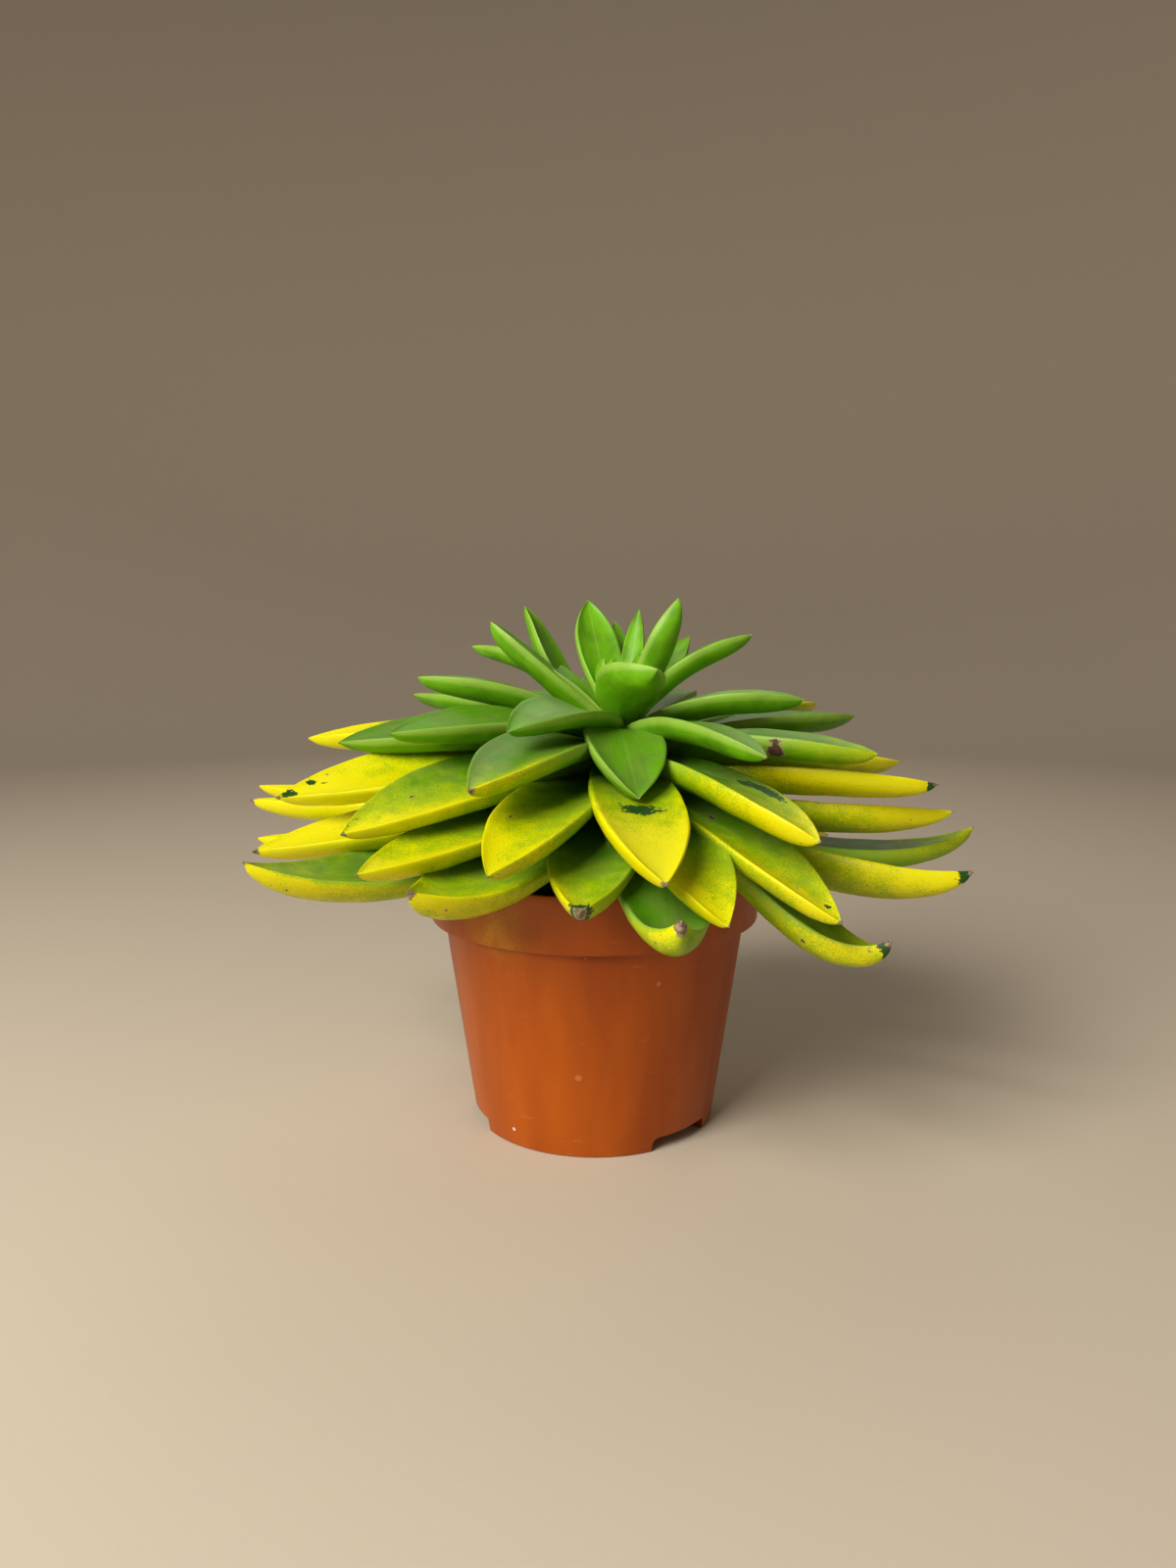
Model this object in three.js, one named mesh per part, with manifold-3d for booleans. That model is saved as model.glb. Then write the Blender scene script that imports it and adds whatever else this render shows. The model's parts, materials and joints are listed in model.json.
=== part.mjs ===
// Potted echeveria: a wide rosette of long pointed leaves on a short leaning stem,
// planted in a thin-walled 10.5 cm grower's pot with a tall collar.
// Millimetres, +Z up. The origin is on the pot's axis, on the surface that it stands on.
// The front faces -Y. Azimuths are degrees from the front, turning towards +X.
import * as THREE from 'three';
import { mergeVertices } from 'three/addons/utils/BufferGeometryUtils.js';
import Module from 'manifold-3d';

// Pot
const potHeight = 82;
const rimRadius = 52.5;
const collarBottom = 65.2;
const collarBottomRadius = 51.5;
const bodyTopRadius = 47.5;
const baseRadius = 38;
const potWall = 1.3;
const rimRound = 0.4;
const baseRound = 1.2;
const footWidth = 2.2;
const floorUnderside = 5;
const potSides = 36;

// Drainage: notches through the foot and holes in the raised floor
const notchAzimuths = [44, 164, -76];
const notchWidth = 23;
const notchHeight = 4.3;
const notchCornerRadius = 2.2;
const drainHoleCount = 6;
const drainHoleRadius = 4;
const drainHoleCircle = 25;
const drainHoleSides = 12;

// Soil: its level, then its surface as [fraction of the top's radius, height above the level]
const soilHeight = 77;
const soilEdgeDrop = 1;
const soilSurface = [[0.94, 0], [0.8, -0.5], [0.6, 0.5], [0.4, 0]];
const soilMound = 1;
const soilLump = 0.7;
const soilLumpSpacing = [4, 3.5];
const soilSides = 32;
const soilClearance = 3;

// Stem: its centre line leans towards +X
const stemLean = 0.09;
const stemOffset = 5;
const stemOffsetHeight = 88;
const stemFoot = 56;
const stemFootRadius = 6.5;
const stemFootTaper = 6;
const stemRootedRadius = 8;
const stemTop = 132;
const stemSides = 16;
// Outline above the soil, as [radius, height above the soil's level]: rings of leaf scars, then the crown
const stemOutline = [
  [8, 4], [8.7, 6], [8, 8], [9.7, 11], [9, 13],
  [16, 19], [16, 40], [14.7, 46], [11.2, 52], [5.6, 55],
];

// Leaf blade: the half width and the keel depth along its length, as fractions
const neckWidth = 0.36;
const widestAt = 0.58;
const neckDepth = 0.5;
const deepestAt = 0.45;
const keelDepth = 2.2;
const keelDepthPerWidth = 0.25;
const channelDepth = 0.08;
const tipHalfWidth = 0.35;
const tipDepth = 0.7;
const heartRootRadius = 5;
const matureRootRadius = 9;
const curveSteps = 60;

// Gap kept between neighbours that touch, and the finest detail that a trimmed piece keeps
const gap = 0.35;
const finestDetail = 0.05;

// Young leaves, packed round the growing point. Each row is azimuth, height on the stem, length,
// width, elevation at the root, bend towards the tip, upward hook of the tip, sideways curl, roll.
const heartLeaves = [
  [-178, 125, 45, 9, 49, -8],
  [160, 125, 40, 7, 60.5, 6],
  [-163, 122, 50, 12, 59, -10],
  [-150, 124, 45, 15, 68, -12, 0, -14],
  [60, 124, 44, 12, 64, 0, 0, 0, -10],
  [12, 124, 46, 20, 51, -50, 0, 16, -18],
  [146, 122, 53, 12, 41.5, -14],
  [-118, 121, 54, 11, 30.5, 50, -40],
  [-82, 122, 53, 14, 45, -8, 0, 0, -8],
  [85, 123, 52, 13, 64.5, -56],
  [-110, 122, 60, 12, 58, -60],
  [-22, 125, 22, 9, 66, 10],
  [118, 126, 22, 8, 70, 8],
  [-96, 126, 20, 8, 70, 8],
  [40, 126, 15, 7, 76, 0],
];

// Mature leaves that the photographed side shows, youngest first, in the same columns
const matureLeaves = [
  [-28, 121, 69, 18, 33.5, -54, -4, -7, -12],
  [4, 121, 62, 24, 27, -76, 0, 8, -8],
  [75, 121, 60, 17, 38.5, -52],
  [31, 120, 73, 16, 25.5, -48.5, 0, 3, -8],
  [-76, 120, 67, 17, 37, -38],
  [-56, 120, 79, 20, 22.5, -36, 0, 0, -12],
  [-27, 118, 88, 23, 18, -40, 0, 0, -8],
  [-108, 118, 73, 16, 27, -30],
  [128, 118, 94, 17, 15, -18],
  [107, 117, 84, 19, 18, -24],
  [-75, 117, 87, 21, 20, -34, 0, 0, -15],
  [62, 117, 82, 21, 17, -30],
  [-96, 117, 101, 20, 14.5, -26, 0, 0, -8],
  [32, 115, 93, 23, 9, -34, 0, 0, -10],
  [6, 114, 93, 26, 4.5, -34, 0, 4, -4],
  [-48, 114, 100, 24, 8, -30, 0, 0, -18],
  [-68, 113, 105, 23, 9, -24, 0, 0, -23],
  [96, 113, 92, 20, 6.5, -14],
  [71, 110, 97, 20, 6, -11.5, 0, 0, -10],
  [-20, 110, 98, 25, 7, -30, 0, 0, -4],
  [34, 109, 101, 22, -0.5, -30],
  [78, 107, 102, 19, -10.5, 14, 0, 0, -19],
  [16, 107, 95, 24, 0.5, -30],
  [-107, 107, 129, 20, -7, 8],
  [-94, 106, 118, 20, -7, 8],
  [-7, 106, 91, 26, -4.5, -18.5, 12.5],
  [-64, 105, 112, 22, -0.5, -10, 0, 0, -13],
  [-40, 105, 103, 22, 0, -12, 0, 0, -10],
  [65, 104, 111, 22, -18, 11.5, 28, 0, -26],
  [8, 104, 101, 27, 7, -66.5, 113, -6, -2],
  [45, 104, 107, 25, 3, -69.5, 110, 0, -10],
  [86, 103, 114, 20, -19, 20, 30],
  [-31, 103, 102, 28, -9, -5, 37.5, 0, -10],
  [-89, 101, 113, 20, -10, 8],
  [-52, 102, 122, 25, -14.5, 17.5, 22, 0, -11],
];

// Mature leaves of the far side, tier by tier, spread evenly over the tier's arc
const farTiers = [
  { count: 3, arc: [142, 226], row: [120, 66, 17, 30, -34] },
  { count: 4, arc: [136, 234], row: [117, 80, 19, 18, -28] },
  { count: 4, arc: [122, 236], row: [113, 88, 20, 10, -24] },
  { count: 5, arc: [112, 242], row: [108, 92, 20, 2, -18] },
  { count: 4, arc: [106, 246], row: [103, 94, 20, -6, -10] },
];
const farStagger = 2;
const farRiseSpread = 2.5;

const potMaterial = new THREE.MeshStandardMaterial({ color: '#b25a1c', roughness: 0.4, metalness: 0 });
const soilMaterial = new THREE.MeshStandardMaterial({ color: '#33261e', roughness: 1, metalness: 0 });
const heartMaterial = new THREE.MeshStandardMaterial({ color: '#6fae2c', roughness: 0.5, metalness: 0 });

const degree = Math.PI / 180;
const wasm = await Module();
wasm.setup();

function vertexGeometry(points, index) {
  const geometry = new THREE.BufferGeometry();
  geometry.setAttribute('position', new THREE.Float32BufferAttribute(points, 3));
  geometry.setIndex(index);
  return geometry;
}

function solid(geometry) {
  const bare = geometry.clone();
  bare.deleteAttribute('normal');
  bare.deleteAttribute('uv');
  const { attributes, index } = mergeVertices(bare, 0.001);
  const triangles = [];
  for (let i = 0; i < index.count; i += 3) {
    const [a, b, c] = [index.getX(i), index.getX(i + 1), index.getX(i + 2)];
    if (a !== b && b !== c && c !== a) triangles.push(a, b, c);
  }
  const body = new wasm.Manifold(new wasm.Mesh({
    numProp: 3,
    vertProperties: new Float32Array(attributes.position.array),
    triVerts: new Uint32Array(triangles),
  }));
  return body.setTolerance(finestDetail);
}

function meshOf(name, body, material) {
  const geometry = outerShell(body.getMesh());
  geometry.computeVertexNormals();
  const mesh = new THREE.Mesh(geometry, material);
  mesh.name = name;
  return mesh;
}

// The largest closed shell of a mesh: scraps that a cut left are dropped and sealed hollows are filled
function outerShell({ vertProperties, triVerts }) {
  const shellOf = Array.from({ length: vertProperties.length / 3 }, (_, i) => i);
  const find = (i) => {
    while (shellOf[i] !== i) i = shellOf[i];
    return i;
  };
  for (let i = 0; i < triVerts.length; i += 3) {
    shellOf[find(triVerts[i + 1])] = find(triVerts[i]);
    shellOf[find(triVerts[i + 2])] = find(triVerts[i]);
  }
  const shells = new Map();
  for (let i = 0; i < triVerts.length; i += 3) {
    const key = find(triVerts[i]);
    if (!shells.has(key)) shells.set(key, []);
    shells.get(key).push(...triVerts.slice(i, i + 3));
  }
  const [largest] = [...shells.values()].sort((a, b) => b.length - a.length);
  return vertexGeometry(Array.from(vertProperties), largest);
}

// A turned body from a list of [radius, height] points
function turned(profile, sides) {
  const geometry = new THREE.LatheGeometry(profile.map(([r, z]) => new THREE.Vector2(r, z)), sides);
  return geometry.rotateX(Math.PI / 2);
}

function bodyRadius(z) {
  return THREE.MathUtils.mapLinear(z, 0, collarBottom, baseRadius, bodyTopRadius);
}

function collarRadius(z) {
  return THREE.MathUtils.mapLinear(z, collarBottom, potHeight, collarBottomRadius, rimRadius);
}

const ledge = collarBottom + potWall;
const floorTop = floorUnderside + potWall;

function potBody() {
  const profile = [
    [0, floorUnderside],
    [baseRadius - footWidth, floorUnderside],
    [baseRadius - footWidth, 0],
    [baseRadius - baseRound / 2, 0],
    [baseRadius, baseRound / 2],
    [bodyRadius(baseRound * 2), baseRound * 2],
    [bodyTopRadius, collarBottom],
    [collarBottomRadius - rimRound, collarBottom],
    [collarBottomRadius, collarBottom + rimRound],
    [rimRadius, potHeight - rimRound],
    [rimRadius - rimRound, potHeight],
    [rimRadius - potWall, potHeight],
    [collarRadius(ledge) - potWall, ledge],
    [bodyRadius(ledge) - potWall, ledge],
    [bodyRadius(floorTop) - potWall, floorTop],
    [0, floorTop],
  ];
  let body = solid(turned(profile, potSides));
  for (const azimuth of notchAzimuths) body = body.subtract(solid(notch(azimuth)));
  for (let i = 0; i < drainHoleCount; i++) body = body.subtract(solid(drainHole(i)));
  return body;
}

// The tool that leaves one drainage notch: a gate with round upper corners, run out through the foot
function notch(azimuth) {
  const half = notchWidth / 2;
  const shape = new THREE.Shape();
  shape.moveTo(-half, -notchHeight);
  shape.lineTo(half, -notchHeight);
  shape.lineTo(half, notchHeight - notchCornerRadius);
  shape.absarc(half - notchCornerRadius, notchHeight - notchCornerRadius, notchCornerRadius, 0, Math.PI / 2);
  shape.absarc(-half + notchCornerRadius, notchHeight - notchCornerRadius, notchCornerRadius, Math.PI / 2, Math.PI);
  const geometry = new THREE.ExtrudeGeometry(shape, { depth: baseRadius, bevelEnabled: false, curveSegments: 3 });
  return geometry.rotateX(Math.PI / 2).translate(0, -baseRadius / 2, 0).rotateZ(azimuth * degree);
}

function drainHole(i) {
  const geometry = new THREE.CylinderGeometry(drainHoleRadius, drainHoleRadius, floorTop, drainHoleSides);
  geometry.rotateX(Math.PI / 2).translate(drainHoleCircle, 0, floorTop);
  return geometry.rotateZ((i / drainHoleCount) * 2 * Math.PI);
}

// Soil: fills the pot to just below the rim, with a lumpy top and a plain hole round the stem
function soilBody() {
  const topRadius = collarRadius(soilHeight) - potWall - gap;
  const profile = [
    [0, floorTop + gap],
    [bodyRadius(floorTop) - potWall - gap, floorTop + gap],
    [bodyRadius(ledge) - potWall - gap, ledge + gap],
    [collarRadius(ledge) - potWall - gap, ledge + gap],
    [topRadius, soilHeight - soilEdgeDrop],
    ...soilSurface.map(([share, above]) => [topRadius * share, soilHeight + above]),
    [stemRootedRadius, soilHeight + soilMound],
    [0, soilHeight + soilMound],
  ];
  const geometry = turned(profile, soilSides);
  const position = geometry.attributes.position;
  const [spacingX, spacingY] = soilLumpSpacing;
  for (let i = 0; i < position.count; i++) {
    const [x, y, z] = [position.getX(i), position.getY(i), position.getZ(i)];
    const lump = Math.sin(x / spacingX + 1) * Math.cos(y / spacingY) * soilLump;
    if (z > soilHeight - soilEdgeDrop) position.setZ(i, z + lump);
  }
  return solid(geometry).subtract(solid(stem(gap)));
}

// The stem, sheared so that it leans
function stem(grow) {
  const profile = [
    [0, stemFoot - grow],
    [stemFootRadius + grow, stemFoot - grow],
    [stemRootedRadius + grow, stemFoot + stemFootTaper],
    ...stemOutline.map(([radius, above]) => [radius + grow, soilHeight + above]),
    [0, stemTop + grow],
  ];
  const lean = new THREE.Matrix4().set(
    1, 0, stemLean, stemOffset - stemLean * stemOffsetHeight,
    0, 1, 0, 0,
    0, 0, 1, 0,
    0, 0, 0, 1,
  );
  return turned(profile, stemSides).applyMatrix4(lean);
}

function widthAlong(t) {
  if (t < widestAt) return neckWidth + (1 - neckWidth) * Math.sin((Math.PI / 2) * (t / widestAt)) ** 1.4;
  return Math.max(0, 1 - ((t - widestAt) / (1 - widestAt)) ** 2.2) ** 0.93;
}

function depthAlong(t) {
  if (t < deepestAt) return neckDepth + (1 - neckDepth) * Math.sin((Math.PI / 2) * (t / deepestAt));
  return Math.max(0, 1 - ((t - deepestAt) / (1 - deepestAt)) ** 4.5) ** 0.6;
}

// Section of a blade, as [across in half widths, up]: the hollow upper face, then the keeled lower face
const upperSection = [[-0.93, 1], [0, -1], [0.93, 1]];
const lowerSection = [[1, 0], [0.72, -0.66], [0, -1], [-0.72, -0.66], [-1, 0]];
const leafStations = [0.3, 0.45, 0.6, 0.74, 0.86, 0.95, 1];

// The midrib of a leaf: points and directions from the stem's centre line to the tip
function midrib([azimuth, height, length, , rise, bend, hook = 0, side = 0]) {
  const point = new THREE.Vector3(stemOffset + (height - stemOffsetHeight) * stemLean, 0, height);
  const frames = [];
  for (let i = 0; i <= curveSteps; i++) {
    const t = i / curveSteps;
    const elevation = (rise + bend * t + hook * t ** 6) * degree;
    const heading = (azimuth + side * (2 * t - 1)) * degree;
    const direction = new THREE.Vector3(Math.sin(heading), -Math.cos(heading), Math.tan(elevation)).normalize();
    if (i > 0) point.addScaledVector(direction.clone().add(frames[i - 1].direction), length / curveSteps / 2);
    frames.push({ point: point.clone(), direction, heading });
  }
  return frames;
}

function leafGeometry(row, grow, rootRadius) {
  const [, , length, width, , , , , roll = 0] = row;
  const depth = keelDepth + keelDepthPerWidth * width;
  const frames = midrib(row);
  const points = [];
  const rootStation = rootRadius / length;
  const stations = [rootStation, ...leafStations.filter((t) => t > rootStation + 0.05)];
  for (const t of stations) {
    const { point, direction, heading } = frames[Math.round(t * curveSteps)];
    const across = new THREE.Vector3(Math.cos(heading), Math.sin(heading), 0);
    const up = direction.clone().cross(across);
    const turn = roll * degree * Math.min(1, 2 * t);
    const tilted = across.clone().multiplyScalar(Math.cos(turn)).addScaledVector(up, Math.sin(turn));
    const normal = up.multiplyScalar(Math.cos(turn)).addScaledVector(across, -Math.sin(turn));
    const halfWidth = Math.max((width / 2) * widthAlong(t), tipHalfWidth);
    const keel = Math.max(depth * depthAlong(t), tipDepth);
    const centre = point.clone().addScaledVector(direction, t === 1 ? grow : 0);
    for (const [x, y] of upperSection) {
      const lift = y * channelDepth * halfWidth + grow;
      const corner = centre.clone().addScaledVector(tilted, x * (halfWidth + grow)).addScaledVector(normal, lift);
      points.push(...corner.toArray());
    }
    for (const [x, y] of lowerSection) {
      const corner = centre.clone().addScaledVector(tilted, x * (halfWidth + grow));
      points.push(...corner.addScaledVector(normal, y * (keel + grow)).toArray());
    }
  }
  return vertexGeometry(points, skin(stations.length, upperSection.length + lowerSection.length));
}

// Triangles over a run of rings, closed with a fan at each end
function skin(rings, sides) {
  const index = [];
  const last = (rings - 1) * sides;
  for (let i = 0; i < last; i += sides) {
    for (let j = 0; j < sides; j++) {
      const [a, b] = [i + j, i + ((j + 1) % sides)];
      index.push(a, a + sides, b, b, a + sides, b + sides);
    }
  }
  for (let j = 1; j < sides - 1; j++) {
    index.push(0, j, j + 1);
    index.push(last, last + j + 1, last + j);
  }
  return index;
}

function leafSolid(row, grow, rootRadius = matureRootRadius) {
  return solid(leafGeometry(row, grow, rootRadius));
}

function farLeaves() {
  const rows = [];
  for (const { count, arc: [from, to], row: [height, length, width, rise, bend] } of farTiers) {
    for (let i = 0; i < count; i++) {
      const side = rows.length % 2 ? 1 : -1;
      const azimuth = from + ((to - from) * (i + 0.5)) / count + side * farStagger;
      rows.push([azimuth, height, length, width, rise + side * farRiseSpread, bend]);
    }
  }
  return rows;
}

// The space that the leaves leave to the pot and the soil
function potSpace() {
  return solid(turned([
    [0, 0],
    [baseRadius, 0],
    [bodyTopRadius + gap, collarBottom - gap],
    [collarBottomRadius + gap, collarBottom - gap],
    [rimRadius + gap, potHeight + gap],
    [rimRadius - potWall - gap, potHeight + gap],
    [rimRadius - potWall - gap, soilHeight + soilClearance],
    [0, soilHeight + soilClearance],
  ], potSides));
}

function leafColour(height) {
  const age = THREE.MathUtils.clamp((121 - height) / 16, 0, 1);
  return new THREE.Color('#5f9a33').lerp(new THREE.Color('#c3c512'), age);
}

const group = new THREE.Group();
group.add(meshOf('pot', potBody(), potMaterial));
group.add(meshOf('soil', soilBody(), soilMaterial));

let heart = solid(stem(0));
let taken = potSpace().add(solid(stem(gap)));
for (const row of heartLeaves) {
  heart = heart.add(leafSolid(row, 0, heartRootRadius));
  taken = taken.add(leafSolid(row, gap, heartRootRadius));
}
group.add(meshOf('stem_and_heart', heart, heartMaterial));

// Each leaf gives way to the younger ones that it is packed under
const leaves = [...matureLeaves, ...farLeaves()].sort((a, b) => b[1] - a[1]);
leaves.forEach((row, i) => {
  const material = new THREE.MeshStandardMaterial({ color: leafColour(row[1]), roughness: 0.5, metalness: 0 });
  const name = `leaf_${String(i + 1).padStart(2, '0')}`;
  group.add(meshOf(name, leafSolid(row, 0).subtract(taken), material));
  taken = taken.add(leafSolid(row, gap));
});

export default group;
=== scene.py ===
import json
import math
import bpy
import numpy as np
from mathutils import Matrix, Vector, noise


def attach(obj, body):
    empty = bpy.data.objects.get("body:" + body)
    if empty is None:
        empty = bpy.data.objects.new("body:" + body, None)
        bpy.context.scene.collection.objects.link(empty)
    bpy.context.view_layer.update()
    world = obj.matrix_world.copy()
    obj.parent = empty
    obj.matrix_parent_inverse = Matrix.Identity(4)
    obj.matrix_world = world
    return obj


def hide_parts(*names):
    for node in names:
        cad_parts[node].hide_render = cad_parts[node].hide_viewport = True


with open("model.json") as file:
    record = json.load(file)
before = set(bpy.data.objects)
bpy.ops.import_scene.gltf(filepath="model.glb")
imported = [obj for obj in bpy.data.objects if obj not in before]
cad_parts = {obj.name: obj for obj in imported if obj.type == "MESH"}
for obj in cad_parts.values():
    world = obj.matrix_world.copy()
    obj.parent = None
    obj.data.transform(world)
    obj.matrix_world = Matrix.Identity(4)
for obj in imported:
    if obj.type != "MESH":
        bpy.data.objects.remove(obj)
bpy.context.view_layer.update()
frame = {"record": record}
mm = 0.001
scene = bpy.context.scene

# Camera
viewpoint = {"lens": 25.875, "place": (-0.002, -0.3517, 0.1546), "lookDown": 7.86}
bpy.ops.object.camera_add(location=viewpoint["place"],
                          rotation=(math.radians(90 - viewpoint["lookDown"]), 0, 0))
camera = bpy.context.object
camera.data.lens = viewpoint["lens"]
camera.data.sensor_width = 36
camera.data.clip_start = 0.01
scene.camera = camera
scene.view_settings.view_transform = "Standard"   # keeps the yellow paint as strong as it is
print("camera placed")


# Helpers for modelling
def deselectAll():
    bpy.ops.object.select_all(action="DESELECT")


def activate(obj):
    deselectAll()
    obj.select_set(True)
    bpy.context.view_layer.objects.active = obj


def applyModifier(obj, kind, **settings):
    activate(obj)
    modifier = obj.modifiers.new(kind.lower(), kind)
    for key, value in settings.items():
        setattr(modifier, key, value)
    bpy.ops.object.modifier_apply(modifier=modifier.name)


def drawOut(step, scale, centre):
    # one extrude of the selected end face, then a resize about the profile's own centre
    bpy.ops.mesh.extrude_region_move(TRANSFORM_OT_translate={"value": step})
    bpy.ops.transform.resize(value=scale, center_override=centre)


def drawProfile(profile, sides, axisAt=lambda height: 0):
    # a disc drawn out through each radius and height in mm, about an axis that may lean. It stays in edit
    # mode with its last face selected.
    (radius, height), *rest = profile
    deselectAll()
    bpy.ops.mesh.primitive_circle_add(vertices=sides, radius=radius * mm, fill_type="NGON",
                                      location=(axisAt(height) * mm, 0, height * mm))
    bpy.ops.object.transform_apply(location=True, rotation=True, scale=True)
    bpy.ops.object.mode_set(mode="EDIT")
    bpy.ops.mesh.select_all(action="SELECT")
    for nextRadius, nextHeight in rest:
        ratio, centre = nextRadius / radius, axisAt(nextHeight)
        drawOut(((centre - axisAt(height)) * mm, 0, (nextHeight - height) * mm), (ratio, ratio, 1),
                (centre * mm, 0, nextHeight * mm))
        radius, height = nextRadius, nextHeight
    return bpy.context.object


def displace(obj, name, size, height, **settings):
    # cloud noise, with its lumps' size and height in mm
    clouds = bpy.data.textures.get(name) or bpy.data.textures.new(name, "CLOUDS")
    clouds.noise_scale = size * mm
    applyModifier(obj, "DISPLACE", texture=clouds, strength=height * mm, mid_level=0.5, **settings)


def finishMesh(obj, name, smoothAngle=None):
    activate(obj)
    bpy.ops.object.transform_apply(location=True, rotation=True, scale=True)
    bpy.ops.object.mode_set(mode="EDIT")
    bpy.ops.mesh.select_all(action="SELECT")
    bpy.ops.mesh.remove_doubles(threshold=0.00001)
    bpy.ops.mesh.normals_make_consistent(inside=False)
    bpy.ops.object.mode_set(mode="OBJECT")
    if smoothAngle:
        bpy.ops.object.shade_smooth_by_angle(angle=math.radians(smoothAngle))
    else:
        bpy.ops.object.shade_smooth()
    obj.name = name
    return obj


def place(obj, material, slot, *nodes):
    obj.data.materials.clear()
    obj.data.materials.append(material)
    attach(obj, "root")
    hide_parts(*nodes)


# Helpers for materials
def linear(code):
    rgb = [int(code[i:i + 2], 16) / 255 for i in (1, 3, 5)]
    return [c / 12.92 if c <= 0.04045 else ((c + 0.055) / 1.055) ** 2.4 for c in rgb] + [1]


def tints(look):
    return {key: linear(code) for key, code in look.items() if isinstance(code, str)}


def addNode(tree, kind, settings={}, inputs={}, out=0):
    node = tree.nodes.new("ShaderNode" + kind)
    for key, value in settings.items():
        setattr(node, key, value)
    for key, value in inputs.items():
        if isinstance(value, bpy.types.NodeSocket):
            tree.links.new(value, node.inputs[key])
        else:
            node.inputs[key].default_value = value
    return node.outputs[out]


# settings that many nodes share
rgba = {"data_type": "RGBA"}
soft = {"interpolation_type": "SMOOTHSTEP"}
multiply = {"operation": "MULTIPLY"}
add = {"operation": "ADD"}
multiplyAdd = {"operation": "MULTIPLY_ADD"}
larger = {"operation": "MAXIMUM"}


def newMaterial(name, **sockets):
    material = bpy.data.materials.new(name)
    material.use_nodes = True
    shader = material.node_tree.nodes["Principled BSDF"]
    for key, value in sockets.items():
        shader.inputs[key.replace("_", " ")].default_value = value
    return material, material.node_tree, shader


# Leaf skin. Fleshy succulent leaf: satin, juicy green, light passes into the edges. A grey wax bloom dulls
# the upper face, spray paint covers the outer end in droplets, and its scraped spots show dark green. The
# skin's own cells are too fine to show, so its grain is drawn coarser.
leafSkin = {
    "young": "#6eb20a", "mature": "#4a8208", "deep": "#265204", "flank": "#68a804", "paleBase": "#9cc63c",
    "bloom": "#86984a", "rim": "#b2cc60", "paint": "#dcd600", "paintDeep": "#bcc400", "mist": "#9ab800",
    "bare": "#24481a", "cork": "#a08a74", "corkPale": "#c4b890", "corkDark": "#57473a", "scar": "#503224",
    "scarEdge": "#a5966e",
    "cloudMm": 9, "streakMm": 0.9, "streakStretch": 0.07, "grainMm": 0.35, "dropletMm": 0.5, "blotchMm": 5,
    "chipMm": 1.2, "speckMm": 3.2, "freckleMm": 1.3,
}


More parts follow.
